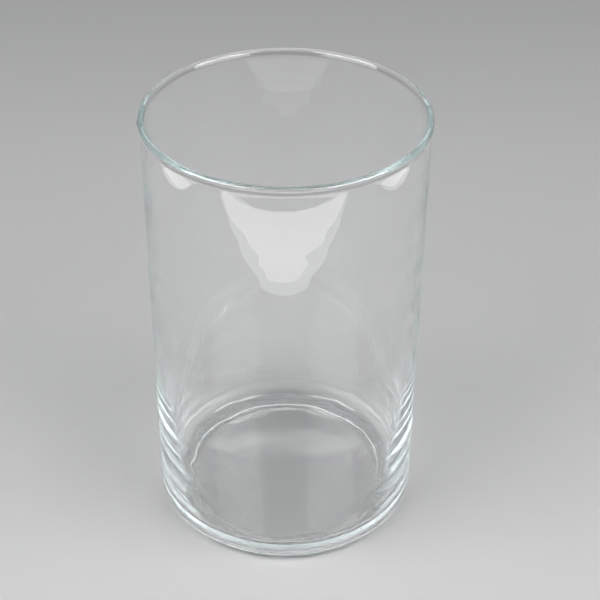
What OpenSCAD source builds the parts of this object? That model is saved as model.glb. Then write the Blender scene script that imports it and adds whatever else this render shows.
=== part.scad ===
// Clear glass cylinder vase: one continuous piece of glass, turned about Z.
// Millimetres, +Z up, origin at the centre of the plane that it stands on.

/* [Body] */
// Height from the standing plane to the top of the rim
height = 250; // [160:1:400]
// Outside diameter of the straight wall
wall_d = 151.2; // [100:0.2:220]
// Thickness of the straight wall
wall_t = 3; // [2:0.1:5]

/* [Rim] */
// How much thicker than the wall the round fire-polished bead is, all of it outside
bead_over = 0.8; // [0.2:0.1:3]
// Radius of the hollow that blends the bead into the wall outside
bead_blend_r = 4; // [2:0.5:8]

/* [Base] */
// Thickness of the glass between the inside floor and the standing plane
floor_t = 8; // [6:0.5:16]
// Radius of the round heel outside
heel_r = 9; // [6:0.5:14]
// Height above the standing plane at which the wall starts to thicken inside
foot_top = 100; // [60:5:140]
// Radius of the long curve along which it thickens, down to the floor's corner
foot_r = 1200; // [900:50:3000]
// Radius of the round corner inside, between floor and wall
floor_corner_r = 6; // [4:0.5:10]
// Width of the flat ring that the vase stands on
ring_w = 6; // [4:0.5:9]
// Height of the domed hollow under the middle of the base
kick_h = 2.6; // [2.2:0.1:4]
// Height of the round step at the hollow's edge, inside the standing ring
kick_edge_h = 1; // [0.6:0.1:1.6]
// Radius of that round step
kick_edge_r = 5; // [2:0.5:8]

/* [Hidden] */
$fn = 240;
large_fn = 1440; // facets round a full circle, for the two circles far wider than the vase
over = 10; // how far a cutting shape runs past the glass

outer_r = wall_d / 2;
inner_r = outer_r - wall_t;
bead_r = (wall_t + bead_over) / 2;
bead_c = [inner_r + bead_r, height - bead_r];

// The blend circle touches the outer wall and the bead's circle.
blend_c = [
  outer_r + bead_blend_r,
  bead_c[1] - sqrt(pow(bead_blend_r + bead_r, 2) - pow(outer_r + bead_blend_r - bead_c[0], 2))
];
blend_touch = bead_c + (blend_c - bead_c) * bead_r / (bead_r + bead_blend_r);

// The foot's long curve leaves the straight wall at foot_top and runs into the round corner.
foot_c = [inner_r - foot_r, foot_top];
corner_z = floor_t + floor_corner_r;
corner_c = [
  foot_c[0] + sqrt(pow(foot_r - floor_corner_r, 2) - pow(foot_top - corner_z, 2)),
  corner_z
];
corner_touch = foot_c + (corner_c - foot_c) * foot_r / (foot_r - floor_corner_r);

// The hollow is a spherical cap that ends on the top of its round step.
ring_outer_r = outer_r - heel_r;
kick_r = ring_outer_r - ring_w;
cap_edge_r = kick_r - sqrt(pow(kick_edge_r, 2) - pow(kick_edge_r - kick_edge_h, 2));
cap_rise = kick_h - kick_edge_h;
cap_r = (cap_edge_r * cap_edge_r + cap_rise * cap_rise) / (2 * cap_rise);

// Half outline of the vase as if it were solid: round heel, wall and bead.
module outer_section() {
  translate([0, heel_r]) square([outer_r, blend_c[1] - heel_r]);
  square([ring_outer_r, heel_r]);
  translate([ring_outer_r, heel_r]) circle(r = heel_r);
  translate([0, blend_c[1]]) square([bead_c[0], height - blend_c[1]]);
  translate(bead_c) circle(r = bead_r);
  bead_blend_section();
}

// Glass that fills the crease between the bead and the outer wall.
module bead_blend_section() {
  difference() {
    polygon([[inner_r, blend_c[1]], [outer_r, blend_c[1]], blend_touch, bead_c]);
    translate(blend_c) circle(r = bead_blend_r);
  }
}

// Half outline of the space inside the vase.
module cavity_section() {
  translate([0, foot_top]) square([inner_r, bead_c[1] - foot_top]);
  intersection() {
    translate(foot_c) circle(r = foot_r, $fn = large_fn);
    translate([0, corner_touch[1]]) square([inner_r, foot_top - corner_touch[1]]);
  }
  translate([0, floor_t]) square([corner_c[0], corner_touch[1] - floor_t]);
  translate(corner_c) circle(r = floor_corner_r);
}

// The mouth: open space inside the bead, above the middle of its circle.
module mouth_section() {
  difference() {
    translate([0, bead_c[1]]) square([bead_c[0], bead_r + over]);
    translate(bead_c) circle(r = bead_r);
  }
}

// Half outline of the shallow domed hollow under the base.
module kick_section() {
  intersection() {
    translate([0, kick_h - cap_r]) circle(r = cap_r, $fn = large_fn);
    translate([0, -over]) square([cap_edge_r, kick_h + over]);
  }
  translate([cap_edge_r, kick_edge_h - kick_edge_r]) circle(r = kick_edge_r);
}

module glass_vase() {
  color("lightcyan", 0.35)
  rotate_extrude() {
    difference() {
      outer_section();
      cavity_section();
      mouth_section();
      kick_section();
    }
  }
}

glass_vase();
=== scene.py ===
import math
import random

import bmesh
import bpy
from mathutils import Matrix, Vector, noise


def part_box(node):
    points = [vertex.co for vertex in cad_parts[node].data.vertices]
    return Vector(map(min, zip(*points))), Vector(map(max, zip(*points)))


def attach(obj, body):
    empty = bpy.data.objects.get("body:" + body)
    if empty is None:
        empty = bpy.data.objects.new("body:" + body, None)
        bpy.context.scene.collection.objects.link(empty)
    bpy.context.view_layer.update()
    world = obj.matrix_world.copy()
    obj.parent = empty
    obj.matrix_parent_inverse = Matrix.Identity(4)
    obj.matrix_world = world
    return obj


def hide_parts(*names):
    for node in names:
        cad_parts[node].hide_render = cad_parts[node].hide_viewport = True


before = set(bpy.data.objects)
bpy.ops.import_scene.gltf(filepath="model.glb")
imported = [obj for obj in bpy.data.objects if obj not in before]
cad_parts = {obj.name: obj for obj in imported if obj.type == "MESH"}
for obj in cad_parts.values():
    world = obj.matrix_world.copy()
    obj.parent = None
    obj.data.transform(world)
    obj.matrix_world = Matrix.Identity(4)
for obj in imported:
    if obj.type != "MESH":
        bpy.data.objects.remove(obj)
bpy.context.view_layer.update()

MM = 0.001

# ---------------------------------------------------------------- dimensions, as in the CAD part
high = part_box("glass_vase")[1]
HEIGHT = high.z
WALL_T = 3.0 * MM
BEAD_T = 3.8 * MM
BEAD_BLEND_R = 4.0 * MM
FLOOR_T = 8.0 * MM
HEEL_R = 9.0 * MM
FOOT_TOP = 100.0 * MM
FOOT_R = 1200.0 * MM
FLOOR_CORNER_R = 6.0 * MM
RING_W = 6.0 * MM
KICK_H = 2.6 * MM
KICK_EDGE_H = 1.0 * MM
KICK_EDGE_R = 5.0 * MM
RING_EDGE_R = 0.6 * MM  # the wear that rounds the standing ring's inner edge

BEAD_R = BEAD_T / 2
INNER_R = high.x - BEAD_T
OUTER_R = INNER_R + WALL_T
RING_OUTER_R = OUTER_R - HEEL_R
KICK_R = RING_OUTER_R - RING_W

# ---------------------------------------------------------------- what hot working leaves in the glass
SWELL = 42 * MM  # length and depth of the slow swells in the wall
SWELL_DEPTH = 0.03 * MM
RING_PITCH = 8 * MM  # height, run and depth of the fine rings in the wall
RING_RUN = 60 * MM
RING_DEPTH = 0.028 * MM
RING_GAIN = 5.0  # how many times their depth is added near the base, from one height down to another
RING_GAIN_TOP = 110 * MM
RING_GAIN_FULL = 25 * MM
OUTER_WAVES = 2.7  # the wall's two faces have waves of their own
INNER_WAVES = 5.3
CALM_FLOOR = 8 * MM  # the stretches above the floor and below the rim over which the waves fade out
CALM_RIM = 22 * MM
FLOOR_SWELL = 17 * MM  # length and depth of the swells in the two faces of the base
FLOOR_SWELL_DEPTH = 0.05 * MM
FLOOR_SWELL_END = KICK_R - 2 * MM  # how far from the axis they end, and where they are full
FLOOR_SWELL_FULL = KICK_R - 12 * MM
DRAFT = 0.008  # the wall thickens by this share of the way down, from DRAFT_TOP
DRAFT_TOP = 235 * MM
DRAFT_EASE = 30 * MM

NICK_TURN = 186  # where the bead has a small lump, in degrees about Z, and its length and height
NICK_L = 2.5 * MM
NICK_H = 0.45 * MM

SEEDS_IN_WALL = 34  # tiny air bubbles
SEEDS_IN_BASE = 10
SEED_CLEAR = 0.9 * MM  # least way from a bubble's centre to a face of the wall

SCUFFED = (0.2, 0.34)  # roughness of the standing ring, from its smoothest to its roughest places
FROSTED = (0.1, 0.3)  # roughness of the hollow under the base, from its middle to its edge
DULL = 0.09  # roughness of the dullest places of the inside floor

AROUND = 256  # columns of the lathed mesh
WALL_ROWS = 110  # rows of the straight wall, on each side of the glass


# ---------------------------------------------------------------- the glass
def arc(centre, radius, start, end, steps):
    """Points on a circle in the (r, z) half plane, angles in degrees, both ends included."""
    points = []
    for i in range(steps + 1):
        a = math.radians(start + (end - start) * i / steps)
        points.append((centre[0] + radius * math.cos(a), centre[1] + radius * math.sin(a)))
    return points


def line(start, end, steps):
    """Points along a straight stretch, without its two ends."""
    return [
        (start[0] + (end[0] - start[0]) * i / steps, start[1] + (end[1] - start[1]) * i / steps)
        for i in range(1, steps)
    ]


def underside():
    """The middle of the domed hollow, its round edge, and the flat ring that the vase stands on."""
    step_angle = math.asin((KICK_EDGE_R - KICK_EDGE_H) / KICK_EDGE_R)
    cap_edge = KICK_R - KICK_EDGE_R * math.cos(step_angle)
    rise = KICK_H - KICK_EDGE_H
    cap_r = (cap_edge ** 2 + rise ** 2) / (2 * rise)
    half = math.degrees(math.asin(cap_edge / cap_r))
    dome = arc((0, KICK_H - cap_r), cap_r, 90, 90 - half, 16)

    # the worn edge is a small circle that touches the hollow's round edge and the standing plane
    step_z = KICK_EDGE_H - KICK_EDGE_R
    ring_x = cap_edge + math.sqrt((KICK_EDGE_R + RING_EDGE_R) ** 2 - (RING_EDGE_R - step_z) ** 2)
    lean = math.degrees(math.atan2(RING_EDGE_R - step_z, ring_x - cap_edge))
    step = arc((cap_edge, step_z), KICK_EDGE_R, 90 - half, lean, 9)
    worn = arc((ring_x, RING_EDGE_R), RING_EDGE_R, 180 + lean, 270, 6)
    return dome[1:-1] + step + worn[1:] + line(worn[-1], (RING_OUTER_R, 0), 4)


def outside():
    """Round heel, straight wall, the hollow blend under the bead, and the bead over the top."""
    bead_c = (INNER_R + BEAD_R, HEIGHT - BEAD_R)
    blend_x = OUTER_R + BEAD_BLEND_R
    reach = BEAD_BLEND_R + BEAD_R
    blend_z = bead_c[1] - math.sqrt(reach ** 2 - (blend_x - bead_c[0]) ** 2)
    lean = math.degrees(math.atan2(bead_c[1] - blend_z, bead_c[0] - blend_x))
    heel = arc((RING_OUTER_R, HEEL_R), HEEL_R, -90, 0, 18)
    wall = line(heel[-1], (OUTER_R, blend_z), WALL_ROWS)
    blend = arc((blend_x, blend_z), BEAD_BLEND_R, 180, lean, 8)
    bead = arc(bead_c, BEAD_R, lean - 180, 180, 26)
    return heel + wall + blend + bead[1:]


def smooth_step(low_end, high_end, value):
    """Eases from 0 at one value to 1 at another, which may be the lower one."""
    t = min(max((value - low_end) / (high_end - low_end), 0), 1)
    return t * t * (3 - 2 * t)


def inner_radius(z):
    """The wall thickens towards the base on its inner side: a little all the way down, as hot glass
    settles, and along the foot's long curve below FOOT_TOP."""
    settled = DRAFT * max(DRAFT_TOP - z, 0) * smooth_step(DRAFT_TOP, DRAFT_TOP - DRAFT_EASE, z)
    curved = FOOT_R - math.sqrt(FOOT_R ** 2 - max(FOOT_TOP - z, 0) ** 2)
    return INNER_R - settled - curved


def inside():
    """Wall down to the round corner, and the floor in to its middle."""
    # the corner starts in line with the wall's slope
    corner_z = FLOOR_T + FLOOR_CORNER_R
    slope = (FOOT_TOP - corner_z) / FOOT_R + DRAFT
    start_z = corner_z - FLOOR_CORNER_R * math.sin(slope)
    corner_r = inner_radius(start_z) - FLOOR_CORNER_R * math.cos(slope)
    wall = line((0, HEIGHT - BEAD_R), (0, start_z), WALL_ROWS)
    corner = arc((corner_r, corner_z), FLOOR_CORNER_R, -math.degrees(slope), -90, 18)
    return [(inner_radius(z), z) for _, z in wall] + corner + line(corner[-1], (0, FLOOR_T), 16)


def waves(x, y, z, seed):
    """How far the wall strays from true, in metres: slow swells, and fine rings, deepest near the base."""
    slow = noise.noise(Vector((x / SWELL, y / SWELL, z / SWELL + seed)))
    rings = noise.noise(Vector((x / RING_RUN, y / RING_RUN, z / RING_PITCH + 7 * seed)))
    ring_depth = RING_DEPTH * (1 + RING_GAIN * smooth_step(RING_GAIN_TOP, RING_GAIN_FULL, z))
    return SWELL_DEPTH * slow + ring_depth * rings


def worked(point):
    """A point of the true lathed shape, moved to where hot working leaves it: every face is very
    slightly wavy, except the standing ring, and the bead has one small lump."""
    x, y, z = point
    r = math.hypot(x, y)
    if z < FLOOR_T + MM and r < RING_OUTER_R:
        swell = noise.noise(Vector((x / FLOOR_SWELL, y / FLOOR_SWELL, z / MM)))
        return (x, y, z + FLOOR_SWELL_DEPTH * swell * smooth_step(FLOOR_SWELL_END, FLOOR_SWELL_FULL, r))
    inner = r < INNER_R + WALL_T / 2
    above_floor = smooth_step(FLOOR_T, FLOOR_T + CALM_FLOOR, z)
    below_rim = smooth_step(HEIGHT - BEAD_T, HEIGHT - CALM_RIM, z)
    shift = above_floor * below_rim * waves(x, y, z, INNER_WAVES if inner else OUTER_WAVES)
    if z > HEIGHT - BEAD_T and not inner:
        along = OUTER_R * (math.atan2(y, x) - math.radians(NICK_TURN - 360)) / NICK_L
        shift += NICK_H * math.exp(-along ** 2) * (1 - ((HEIGHT - BEAD_R - z) / BEAD_R) ** 2)
    return (x * (1 + shift / r), y * (1 + shift / r), z)


def lathed(profile, first, last):
    """Points and faces of a closed shape turned about Z; first and last are its two poles' heights."""
    verts = [(0, 0, first)]
    for r, z in profile:
        for k in range(AROUND):
            a = 2 * math.pi * k / AROUND
            verts.append((r * math.cos(a), r * math.sin(a), z))
    verts.append((0, 0, last))
    end = len(verts) - 1
    faces = []
    for k in range(AROUND):
        after = (k + 1) % AROUND
        faces.append((0, 1 + after, 1 + k))
        for row in range(len(profile) - 1):
            a = 1 + row * AROUND
            b = a + AROUND
            faces.append((a + k, a + after, b + after, b + k))
        a = 1 + (len(profile) - 1) * AROUND
        faces.append((a + k, a + after, end))
    return [worked(v) for v in verts], faces


def seed_places():
    """Centre, radius and height of each tiny air bubble in the glass."""
    draw = random.Random(5)
    for _ in range(SEEDS_IN_WALL):
        z = draw.uniform(20 * MM, 240 * MM)
        r = draw.uniform(inner_radius(z) + SEED_CLEAR, OUTER_R - SEED_CLEAR)
        a = draw.uniform(0, 2 * math.pi)
        size = draw.uniform(0.10, 0.26) * MM
        yield (r * math.cos(a), r * math.sin(a), z), size, size * draw.uniform(1.0, 1.7)
    for _ in range(SEEDS_IN_BASE):
        r = KICK_R * 0.9 * math.sqrt(draw.random())
        a = draw.uniform(0, 2 * math.pi)
        size = draw.uniform(0.12, 0.3) * MM
        yield (r * math.cos(a), r * math.sin(a), draw.uniform(4.2, 6.8) * MM), size, size


def add_seed(verts, faces, centre, size, height):
    """A small closed ball that is turned inside out, so that it holds air and not glass."""
    ball = bmesh.new()
    bmesh.ops.create_icosphere(ball, subdivisions=2, radius=1)
    start = len(verts)
    verts += [(centre[0] + size * v.co.x, centre[1] + size * v.co.y, centre[2] + height * v.co.z)
              for v in ball.verts]
    faces += [tuple(start + v.index for v in reversed(f.verts)) for f in ball.faces]
    ball.free()


def node(tree, kind, **values):
    """A shader node with its inputs set by name, where an underscore stands for a space."""
    n = tree.nodes.new(kind)
    for key, value in values.items():
        n.inputs[key.replace("_", " ")].default_value = value
    return n


def math_node(tree, operation, *values):
    """A Math node's output; each value is a number or another node's output."""
    n = tree.nodes.new("ShaderNodeMath")
    n.operation = operation
    for i, value in enumerate(values):
        if isinstance(value, bpy.types.NodeSocket):
            tree.links.new(value, n.inputs[i])
        else:
            n.inputs[i].default_value = value
    return n.outputs[0]


def range_node(tree, value, low_in, high_in, low_out=0.0, high_out=1.0):
    """A Map Range node's output, held between its two ends."""
    n = tree.nodes.new("ShaderNodeMapRange")
    tree.links.new(value, n.inputs["Value"])
    n.inputs["From Min"].default_value = low_in
    n.inputs["From Max"].default_value = high_in
    n.inputs["To Min"].default_value = low_out
    n.inputs["To Max"].default_value = high_out
    return n.outputs["Result"]


def noise_node(tree, place, scale, detail):
    """A Noise Texture's output at a place, from 0 to 1 and mostly near the middle."""
    n = node(tree, "ShaderNodeTexNoise", Scale=scale, Detail=detail)
    tree.links.new(place, n.inputs["Vector"])
    return n.outputs[0]


def glass_roughness(tree):
    """Clear everywhere, but the standing ring is scuffed, the hollow inside it is slightly frosted, most
    of all at its edge, and the inside floor is a little dull in places."""
    place = tree.nodes.new("ShaderNodeTexCoord").outputs["Object"]
    parts = tree.nodes.new("ShaderNodeSeparateXYZ")
    tree.links.new(place, parts.inputs[0])
    across = math_node(tree, "POWER", parts.outputs["X"], 2.0)
    away = math_node(tree, "POWER", parts.outputs["Y"], 2.0)
    r = math_node(tree, "SQRT", math_node(tree, "ADD", across, away))
    z = parts.outputs["Z"]

    on_ring = math_node(tree, "MULTIPLY", range_node(tree, z, 0.4 * MM, 0.1 * MM),
                        range_node(tree, r, KICK_R - MM, KICK_R))
    scuffs = range_node(tree, noise_node(tree, place, 1500, 2), 0.35, 0.65, *SCUFFED)
    ring = math_node(tree, "MULTIPLY", on_ring, scuffs)

    on_hollow = math_node(tree, "MULTIPLY", range_node(tree, z, KICK_H + MM, KICK_H + 0.4 * MM),
                          range_node(tree, r, KICK_R + 0.4 * MM, KICK_R - 0.2 * MM))
    worn = range_node(tree, r, KICK_R - 6 * MM, KICK_R - 3 * MM, *FROSTED)
    hollow = math_node(tree, "MULTIPLY", on_hollow, worn)

    on_floor = math_node(tree, "MULTIPLY", range_node(tree, z, FLOOR_T - 2 * MM, FLOOR_T - MM),
                         range_node(tree, z, FLOOR_T + MM, FLOOR_T + 0.3 * MM))
    dull = range_node(tree, noise_node(tree, place, 60, 5), 0.35, 0.7, 0.0, DULL)
    floor = math_node(tree, "MULTIPLY", on_floor, dull)
    return math_node(tree, "MAXIMUM", math_node(tree, "MAXIMUM", ring, hollow), floor)


def glass_material():
    """Clear glass, with the faint cool green that soda-lime glass has where it's thick."""
    mat = bpy.data.materials.new("clear_soda_lime_glass")
    mat.use_nodes = True
    tree = mat.node_tree
    tree.nodes.clear()
    out = tree.nodes.new("ShaderNodeOutputMaterial")
    glass = node(tree, "ShaderNodeBsdfPrincipled", Base_Color=(1, 1, 1, 1), IOR=1.52,
                 Transmission_Weight=1.0)
    tree.links.new(glass_roughness(tree), glass.inputs["Roughness"])
    tint = node(tree, "ShaderNodeVolumeAbsorption", Color=(0.72, 0.93, 0.92, 1), Density=1.8)
    tree.links.new(glass.outputs["BSDF"], out.inputs["Surface"])
    tree.links.new(tint.outputs["Volume"], out.inputs["Volume"])
    return mat


def make_vase():
    """The whole vase as one closed skin: underside, outside, bead, inside wall and floor, and the seeds."""
    verts, faces = lathed(underside() + outside() + inside(), KICK_H, FLOOR_T)
    for centre, size, height in seed_places():
        add_seed(verts, faces, centre, size, height)
    mesh = bpy.data.meshes.new("clear_glass_vase")
    mesh.from_pydata(verts, [], faces)
    mesh.validate()
    mesh.polygons.foreach_set("use_smooth", [True] * len(mesh.polygons))
    mesh.materials.append(glass_material())
    vase = bpy.data.objects.new("clear_glass_vase", mesh)
    bpy.context.scene.collection.objects.link(vase)
    return vase


# ---------------------------------------------------------------- studio
PAPER_R = (1.0, 4.0)  # the floor's colour is painted paler between these two distances from the vase, in metres: painted light that makes up for the light falling off further out
# the paper's albedo near and far: the rise is painted light, not a real change in the paper
PAPER_ALBEDO_PAINTED_FILL = (0.265, 0.65)


def paper_material():
    """Matt paper whose colour is painted paler further out as painted light, to make up for the weaker
    light that falls on it there.
    """
    mat = bpy.data.materials.new("paper_with_painted_fill")
    mat.use_nodes = True
    tree = mat.node_tree
    reach = tree.nodes.new("ShaderNodeVectorMath")
    reach.operation = "LENGTH"
    tree.links.new(tree.nodes.new("ShaderNodeTexCoord").outputs["Object"], reach.inputs[0])
    shader = tree.nodes["Principled BSDF"]
    # painted light: the albedo rises with distance so that the floor looks evenly bright
    painted_fill_albedo = range_node(tree, reach.outputs["Value"], *PAPER_R, *PAPER_ALBEDO_PAINTED_FILL)
    tree.links.new(painted_fill_albedo, shader.inputs["Base Color"])
    shader.inputs["Roughness"].default_value = 0.7
    return mat


def make_floor():
    """A pale round floor that sweeps up into a low wall far from the vase."""
    flat_r = 7.0
    sweep_r = 1.5
    wall_top = 4.5
    rows = [(flat_r * i / 10, 0.0) for i in range(1, 10)]
    rows += arc((flat_r, sweep_r), sweep_r, -90, 0, 16)
    rows.append((flat_r + sweep_r, wall_top))
    columns = 96
    verts = [(0, 0, 0)]
    for r, z in rows:
        for k in range(columns):
            a = 2 * math.pi * k / columns
            verts.append((r * math.cos(a), r * math.sin(a), z))
    faces = []
    for k in range(columns):
        after = (k + 1) % columns
        faces.append((0, 1 + k, 1 + after))
        for row in range(len(rows) - 1):
            a = 1 + row * columns
            faces.append((a + k, a + columns + k, a + columns + after, a + after))
    mesh = bpy.data.meshes.new("studio_floor")
    mesh.from_pydata(verts, [], faces)
    mesh.polygons.foreach_set("use_smooth", [True] * len(mesh.polygons))
    floor = bpy.data.objects.new("studio_floor", mesh)
    floor.location.z = -0.1 * MM  # a hair of air under the standing ring
    bpy.context.scene.collection.objects.link(floor)
    mesh.materials.append(paper_material())


def area_light(name, place, turn, width, height, radiance, spread=180):
    """A rectangular soft light that the camera doesn't see. Its power comes from its radiance.
    A spread under 180 degrees stands for a honeycomb grid in front of it."""
    light = bpy.data.lights.new(name, "AREA")
    light.shape = "RECTANGLE"
    light.size, light.size_y = width, height
    light.energy = math.pi * radiance * width * height
    light.spread = math.radians(spread)
    obj = bpy.data.objects.new(name, light)
    obj.location = place
    obj.rotation_euler = turn
    obj.visible_camera = False
    bpy.context.scene.collection.objects.link(obj)
    return light


def towards(place, aim):
    """The turn of a light at one point that shines at another."""
    return (Vector(aim) - Vector(place)).to_track_quat("-Z", "Y").to_euler()


FACE_UP = (math.pi, 0, 0)  # the turn of a light that lies on the floor and shines up
GRID = 130  # spread of the floor panels: they don't show at a flat angle
SOFTBOX_TURN = 60  # where the two side softboxes stand, in degrees to each side of the camera's side
SOFTBOX_RISE = 48  # and in degrees above the floor
SOFTBOX_AWAY = 1.3
SKY_EDGE = 58  # elevation in degrees at which the overhead light begins, and how softly
SKY_SOFT = 4
SKY_DIM = 0.12  # its strength below and above that edge
SKY_BRIGHT = 1.3


def make_front_panel():
    """A bright panel on the floor in front of the vase, masked to a shape with two curved edges."""
    width = 0.8
    depth = 0.2
    middle = -0.37
    near_edge = 0.337  # how far from the vase's axis the mask's two edges are, straight in front
    far_edge = 0.448
    near_bow = 0.5  # how fast the near edge bends away to the sides, and how far it leans
    near_lean = 0.02
    grid_loss = 2.4  # how much of the light the grid takes, for each metre further away
    panel = area_light("front_panel", (0, middle, MM), FACE_UP, width, depth, 2.7, GRID)
    panel.use_nodes = True
    tree = panel.node_tree
    spot = tree.nodes.new("ShaderNodeSeparateXYZ")
    tree.links.new(tree.nodes.new("ShaderNodeNewGeometry").outputs["Parametric"], spot.inputs[0])
    x = math_node(tree, "MULTIPLY_ADD", spot.outputs["X"], width, -width / 2)
    y = math_node(tree, "MULTIPLY_ADD", spot.outputs["Y"], -depth, middle + depth / 2)
    bow = math_node(tree, "POWER", math_node(tree, "ABSOLUTE", x), 3.0)
    near = math_node(tree, "MULTIPLY_ADD", bow, near_bow, -near_edge)
    near = math_node(tree, "MULTIPLY_ADD", x, -near_lean, near)
    far = math_node(tree, "MULTIPLY_ADD", x, x, -far_edge)
    mask = math_node(tree, "MULTIPLY", math_node(tree, "LESS_THAN", y, near),
                     math_node(tree, "GREATER_THAN", y, far))
    # the wall mirrors what is further away at a flatter angle, where the grid holds back more
    away = math_node(tree, "SQRT", math_node(tree, "ADD", math_node(tree, "MULTIPLY", x, x),
                                             math_node(tree, "MULTIPLY", y, y)))
    let_through = math_node(tree, "MULTIPLY_ADD", away, -grid_loss, 1 + grid_loss * near_edge)
    gain = math_node(tree, "DIVIDE", 1.0, let_through)
    glow = tree.nodes["Emission"]
    tree.links.new(math_node(tree, "MULTIPLY", mask, gain), glow.inputs["Strength"])


def make_lights():
    """Two softboxes in front and to the sides, a long one behind, and three low panels."""
    a = math.radians(SOFTBOX_TURN)
    e = math.radians(SOFTBOX_RISE)
    for side, name in ((-1, "softbox_left"), (1, "softbox_right")):
        place = (
            side * SOFTBOX_AWAY * math.sin(a) * math.cos(e),
            -SOFTBOX_AWAY * math.cos(a) * math.cos(e),
            SOFTBOX_AWAY * math.sin(e),
        )
        area_light(name, place, towards(place, (0, 0.15, 0)), 0.9, 0.6, 12)
    # a long box behind, low enough that the top of the bead mirrors it and the base hardly does
    place = (0, 4.24, 2.9)
    area_light("softbox_back", place, towards(place, (0, 0, 0.25)), 3.4, 0.32, 4)
    # low panels outside the picture, which the wall of the vase mirrors
    make_front_panel()
    for side, name in ((-1, "panel_left"), (1, "panel_right")):
        area_light(name, (side * 0.64, 0.05, MM), FACE_UP, 0.4, 0.9, 3.6, GRID)


def make_sky():
    """A wide overhead light: bright above SKY_EDGE, dim below it."""
    world = bpy.data.worlds.new("overhead_light")
    bpy.context.scene.world = world
    world.use_nodes = True
    tree = world.node_tree
    parts = tree.nodes.new("ShaderNodeSeparateXYZ")
    tree.links.new(tree.nodes.new("ShaderNodeTexCoord").outputs["Generated"], parts.inputs[0])
    low_end = math.sin(math.radians(SKY_EDGE - SKY_SOFT))
    high_end = math.sin(math.radians(SKY_EDGE + SKY_SOFT))
    strength = range_node(tree, parts.outputs["Z"], low_end, high_end, SKY_DIM, SKY_BRIGHT)
    tree.links.new(strength, tree.nodes["Background"].inputs["Strength"])
    tree.nodes["Background"].inputs["Color"].default_value = (0.97, 0.99, 1, 1)


def make_camera():
    """Stands in front of the vase and above it, and looks down at it."""
    camera = bpy.data.cameras.new("camera")
    camera.sensor_width = 36
    camera.lens = 86.85
    obj = bpy.data.objects.new("camera", camera)
    obj.location = (0, -0.6611, 0.6065)
    obj.rotation_euler = (math.radians(54.274), math.radians(-0.39), math.radians(-0.414))
    bpy.context.scene.collection.objects.link(obj)
    bpy.context.scene.camera = obj


def set_light_paths():
    """Lets light go through and round inside the glass many times, and keeps the colours plain."""
    cycles = bpy.context.scene.cycles
    cycles.max_bounces = 96  # light runs down inside the wall in many small steps
    cycles.transmission_bounces = 96
    cycles.glossy_bounces = 96
    cycles.diffuse_bounces = 4
    cycles.caustics_reflective = True
    cycles.caustics_refractive = True
    cycles.blur_glossy = 0.2
    cycles.sample_clamp_indirect = 6
    bpy.context.scene.view_settings.view_transform = "Standard"


make_camera()
make_floor()
make_lights()
make_sky()
set_light_paths()

vase = make_vase()
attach(vase, "root")
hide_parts("glass_vase")
